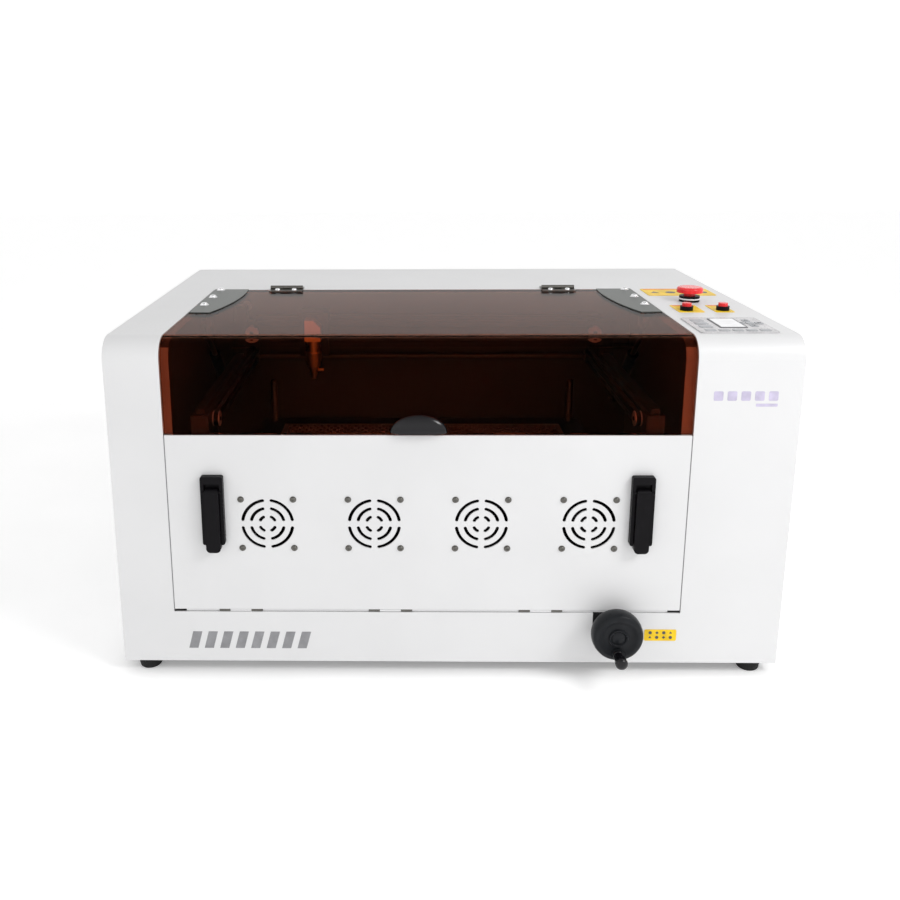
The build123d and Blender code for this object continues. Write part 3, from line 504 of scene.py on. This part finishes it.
# ================= table and lift =================
def honeycomb_bed():
    """A steel honeycomb of thin-walled hexagonal cells in a folded rim."""
    lo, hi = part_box("honeycomb")
    rim, across, wall = 0.004, 0.012, 0.0006
    outer = across / sqrt(3)
    inner = (across - wall) / sqrt(3)
    verts, faces = [], []
    rows = int((hi.y - lo.y - 2 * rim) / (outer * 1.5))
    columns = int((hi.x - lo.x - 2 * rim) / across) - 1
    start_y = (lo.y + hi.y - (rows - 1) * outer * 1.5) / 2
    for row in range(rows):
        shift = across / 4 if row % 2 else -across / 4
        start_x = (lo.x + hi.x - (columns - 1) * across) / 2 + shift
        for column in range(columns):
            cx, cy = start_x + column * across, start_y + row * outer * 1.5
            base = len(verts)
            for size, z in ((outer, hi.z - 0.0002), (inner, hi.z - 0.0002), (inner, lo.z), (outer, lo.z)):
                for i in range(6):
                    turn = pi / 6 + i * pi / 3
                    verts.append((cx + size * cos(turn), cy + size * sin(turn), z))
            for level in range(3):
                for i in range(6):
                    j = (i + 1) % 6
                    k = base + level * 6
                    faces.append((k + i, k + j, k + 6 + j, k + 6 + i))
    parts = [(verts, faces)]
    for x in ((lo.x, lo.x + rim + 0.003), (hi.x - rim - 0.003, hi.x)):
        parts.append(plate([(x[0], lo.y), (x[1], lo.y), (x[1], hi.y), (x[0], hi.y)], lo.z, hi.z - lo.z))
    for y in ((lo.y, lo.y + rim), (hi.y - rim, hi.y)):
        parts.append(plate([(lo.x, y[0]), (hi.x, y[0]), (hi.x, y[1]), (lo.x, y[1])], lo.z, hi.z - lo.z))
    made = add_mesh("honeycomb_bed", *merge(*parts), "aluminium", "table", 30)
    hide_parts("honeycomb")


def lead_screw(number):
    """A trapezoidal thread over a plain journal, with a toothed pulley at its foot."""
    node = f"lead_screw_{number}"
    lo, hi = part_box(node)
    x, y = (lo.x + hi.x) / 2, (lo.y + hi.y) / 2
    pitch, steps, per_pitch = 0.004, 24, 6
    base = lo.z + 0.090
    levels = int((hi.z - base) / pitch * per_pitch)
    rings = []
    for level in range(levels + 1):
        height = base + (hi.z - base) * level / levels
        ring = []
        for turn in angles(steps):
            phase = ((height - base) / pitch - turn / (2 * pi)) % 1.0
            crest = min(1.0, max(0.0, 3.2 * (0.5 - abs(phase - 0.5)) - 0.3))
            radius = 0.0047 + 0.0013 * crest
            ring.append(Vector((x + radius * cos(turn), y + radius * sin(turn), height)))
        rings.append(ring)
    journal = lathe([(0.0045, lo.z), (0.005, lo.z + 0.0006), (0.005, base)], (x, y, 0), "Z", 32)
    teeth = []
    for turn in angles(96):
        radius = 0.0120 - (0.0009 if (turn * 24 / (2 * pi)) % 1.0 > 0.5 else 0)
        teeth.append((x + radius * cos(turn), y + radius * sin(turn)))
    drum = plate(teeth, lo.z + 0.0185, 0.0095)
    flanges = [lathe([(0.004, z), (0.015, z), (0.015, z + 0.0015), (0.004, z + 0.0015)], (x, y, 0), "Z", 48)
               for z in (lo.z + 0.017, lo.z + 0.0275)]
    made = add_mesh(f"threaded_screw_{number}", *merge(ring_surface(rings), journal, drum, *flanges),
                    "steel", node, 50)
    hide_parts(node)


# ================= handwheel =================
def handwheel():
    """A dished wheel with a rounded rim, a hub with a cap, and the pin of its grip."""
    lo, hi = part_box("handwheel")
    x, z = (lo.x + hi.x) / 2, (lo.z + hi.z) / 2
    radius = (hi.x - lo.x) / 2
    face, back = FRONT - 0.043, FRONT - 0.019
    rim = [(0.0001, face + 0.001), (0.0085, face + 0.001), (0.0095, face + 0.002), (0.0110, face - 0.0002),
           (0.0125, face - 0.0002), (0.0135, face + 0.0025), (0.0180, face + 0.0030), (0.0235, face + 0.0022),
           (0.0255, face + 0.0003), (0.0280, face)]
    for step in range(1, 9):
        turn = pi * step / 8
        rim.append((radius - 0.0045 + 0.0045 * sin(turn) if step != 8 else 0.0265,
                    (face + back) / 2 - (back - face) / 2 * cos(turn)))
    rim += [(0.0150, back - 0.001), (0.0120, back + 0.001), (0.0120, back + 0.012), (0.0110, back + 0.013),
            (0.0050, back + 0.013), (0.0050, hi.y)]
    wheel = lathe(rim, (x, 0, z), "Y", 72)
    grip = middle("handwheel_grip")
    socket = [(0.0001, face - 0.0004), (0.0080, face - 0.0004), (0.0088, face + 0.001), (0.0088, face + 0.006)]
    boss = lathe(socket, (grip.x, 0, grip.z), "Y", 40)
    made = add_mesh("wheel", *merge(wheel, boss), "wheel_grey", "handwheel", 50)
    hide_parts("handwheel")


def grip():
    """The revolving grip: a barrel shape that swells towards its rounded end."""
    lo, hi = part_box("handwheel_grip")
    x, z = (lo.x + hi.x) / 2, (lo.z + hi.z) / 2
    radius, length = (hi.x - lo.x) / 2, hi.y - lo.y
    profile = [(0.0001, lo.y)]
    for step in range(1, 7):
        turn = pi / 2 * step / 6
        profile.append((radius * sin(turn), lo.y + 0.006 * (1 - cos(turn))))
    for share, size in ((0.40, 0.97), (0.60, 0.86), (0.80, 0.76), (0.90, 0.74), (0.93, 0.84), (1.0, 0.84)):
        profile.append((radius * size, lo.y + length * share))
    profile.append((0.0001, hi.y))
    made = add_mesh("grip", *lathe(profile, (x, 0, z), "Y", 40), "gloss_black", "handwheel_grip", 50)
    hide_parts("handwheel_grip")


# ================= marks on the cabinet =================
def slanted_bars():
    """A plain grey stripe pattern in place of lettering on the front beam."""
    left, bottom, height = -0.368, MARK_Z, 0.026
    parts = []
    for k in range(8):
        start = left + k * 0.022
        width = 0.013
        lean = 0.007
        outline = [(start, bottom), (start + width, bottom), (start + width + lean, bottom + height),
                   (start + lean, bottom + height)]
        parts.append(plate(outline, FRONT, -INK_T, "Y", INK_EDGE))
    add_mesh("front_stripes", *merge(*parts), "mark_grey", "cabinet", slot="white_coat")


def cheek_mark():
    """A plain row of pale blocks with a short bar under it, on the right cheek."""
    left, bottom = 0.345, 0.404
    parts = []
    for k in range(5):
        start = left + k * 0.018
        outline = rounded_outline((start, start + 0.0125), (bottom, bottom + 0.013), 0.002)
        parts.append(plate(outline, FRONT, -INK_T, "Y", INK_EDGE))
    outline = rounded_outline((left + 0.056, left + 0.0845), (bottom - 0.008, bottom - 0.004), 0.001)
    parts.append(plate(outline, FRONT, -INK_T, "Y", INK_EDGE))
    add_mesh("cheek_blocks", *merge(*parts), "mark_pale", "cabinet", slot="white_coat")


def door_seals():
    """Pale seals in the narrow gaps at the door's two sides."""
    lo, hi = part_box("front_door")
    parts = []
    for x in ((BAY_X - 0.3541, BAY_X - 0.3530), (BAY_X + 0.3530, BAY_X + 0.3541)):
        outline = [(x[0], lo.z + 0.004), (x[1], lo.z + 0.004), (x[1], hi.z - 0.001), (x[0], hi.z - 0.001)]
        parts.append(plate(outline, FRONT + 0.0006, 0.0010, "Y"))
    add_mesh("door_seals", *merge(*parts), "mark_grey", "cabinet", slot="white_coat")


def label_marks():
    """Generic shapes on the yellow labels, and an orange bar along the rear of each."""
    left, bottom = FRONT_LABEL
    parts = []
    for row in range(2):
        for column in range(4):
            cx, cz = left + 0.008 + column * 0.0095, bottom + 0.0052 + row * 0.0072
            sides = (3, 24, 4, 24)[(column + row) % 4]
            outline = [(cx + 0.0024 * cos(t + pi / 2), cz + 0.0024 * sin(t + pi / 2)) for t in angles(sides)]
            parts.append(plate(outline, FRONT - LABEL_T, -INK_T, "Y", INK_EDGE))
    add_mesh("front_label_marks", *merge(*parts), "mark_dark", "cabinet", slot="yellow_label")
    hi = high("label_plates")
    bars = []
    for x0, x1, y in ((0.340, 0.442, hi.y - 0.009), (0.348, 0.380, BUTTON_BACK), (0.402, 0.424, BUTTON_BACK)):
        bars.append(plate(rounded_outline((x0, x1), (y, y + 0.006), 0.001), LABEL_TOP, INK_T, edge=INK_EDGE))
    add_mesh("label_bars", *merge(*bars), "mark_orange", "cabinet", slot="yellow_label")
    signs = []
    for k in range(4):
        cx, cy = 0.352 + k * 0.026, hi.y - 0.035
        sides = (3, 24, 4, 24)[k]
        outline = [(cx + 0.008 * cos(t + pi / 2), cy + 0.008 * sin(t + pi / 2)) for t in angles(sides)]
        signs.append(plate(outline, LABEL_TOP, INK_T, edge=INK_EDGE))
    add_mesh("stop_label_signs", *merge(*signs), "mark_dark", "cabinet", slot="yellow_label")


def collars():
    """A pale ring on the emergency stop's collar."""
    stop = middle("estop_button")
    ring = lathe([(0.0158, 0), (0.0163, 0.0004), (0.0163, 0.0018), (0.0158, 0.0022)],
                 (stop.x, stop.y, TOP + 0.0035), "Z", 64)
    add_mesh("stop_collar_ring", *ring, "mark_white", "cabinet", slot="white_coat")


# ================= control panel =================
def control_panel():
    """Membrane keys, an arrow pad and a small display on the panel's film."""
    lo, hi = PANEL
    top = hi.z
    keys, arrows = [], []

    def key(cx, cy, wide, deep):
        outline = rounded_outline((cx - wide / 2, cx + wide / 2), (cy - deep / 2, cy + deep / 2), 0.002)
        keys.append(plate(outline, top, KEY_T, edge=0.0005))

    def arrow(cx, cy, turn):
        outline = [(cx + 0.0036 * cos(t + turn), cy + 0.0036 * sin(t + turn)) for t in angles(3)]
        arrows.append(plate(outline, top + KEY_T, INK_T, edge=INK_EDGE))

    for k in range(5):
        key(lo.x + 0.016 + k * 0.0183, lo.y + 0.013, 0.0145, 0.010)
    for k in range(3):
        key(lo.x + 0.017, lo.y + 0.037 + k * 0.020, 0.018, 0.013)
    pad = Vector((hi.x - 0.0205, lo.y + 0.058, 0))
    for k in range(4):
        turn = k * pi / 2
        cx, cy = pad.x + 0.0125 * cos(turn), pad.y + 0.0165 * sin(turn)
        key(cx, cy, 0.0105, 0.0125)
        arrow(cx, cy, turn)
    key(pad.x, pad.y, 0.0105, 0.0125)
    add_mesh("panel_keys", *merge(*keys), "key_grey", "cabinet", slot="panel_film")
    add_mesh("panel_arrows", *merge(*arrows), "mark_dark", "cabinet", slot="panel_film")
    frame_outline = rounded_outline((0.367, 0.405), (-0.242, -0.182), 0.002)
    add_mesh("display_frame", *plate(frame_outline, top, 0.0006, edge=0.0004), "mark_dark", "cabinet",
             slot="panel_film")
    screen = rounded_outline((0.3695, 0.4025), (-0.239, -0.185), 0.001)
    add_mesh("display_screen", *plate(screen, top + 0.0006, 0.0003, edge=0.0002), "screen", "cabinet",
             slot="panel_film")


# ================= the scene =================
WIDE_EDGES = ("latch_housings", "latch_lever_1", "latch_lever_2", "front_door", "power_rocker",
              "rear_fittings")
FINE_EDGES = ("lid_window", "corner_plates", "access_cover", "gantry_beam", "head_carriage", "table_frame")

MATS = palette()
camera()
studio()
dress(MATS)
for node in WIDE_EDGES:
    soften(node, 0.0006)
for node in FINE_EDGES:
    soften(node, 0.0004)
fan_screws()
corner_bolts()
hinge_screws()
honeycomb_bed()
for number in (1, 2, 3, 4):
    lead_screw(number)
handwheel()
grip()
slanted_bars()
cheek_mark()
door_seals()
label_marks()
collars()
control_panel()
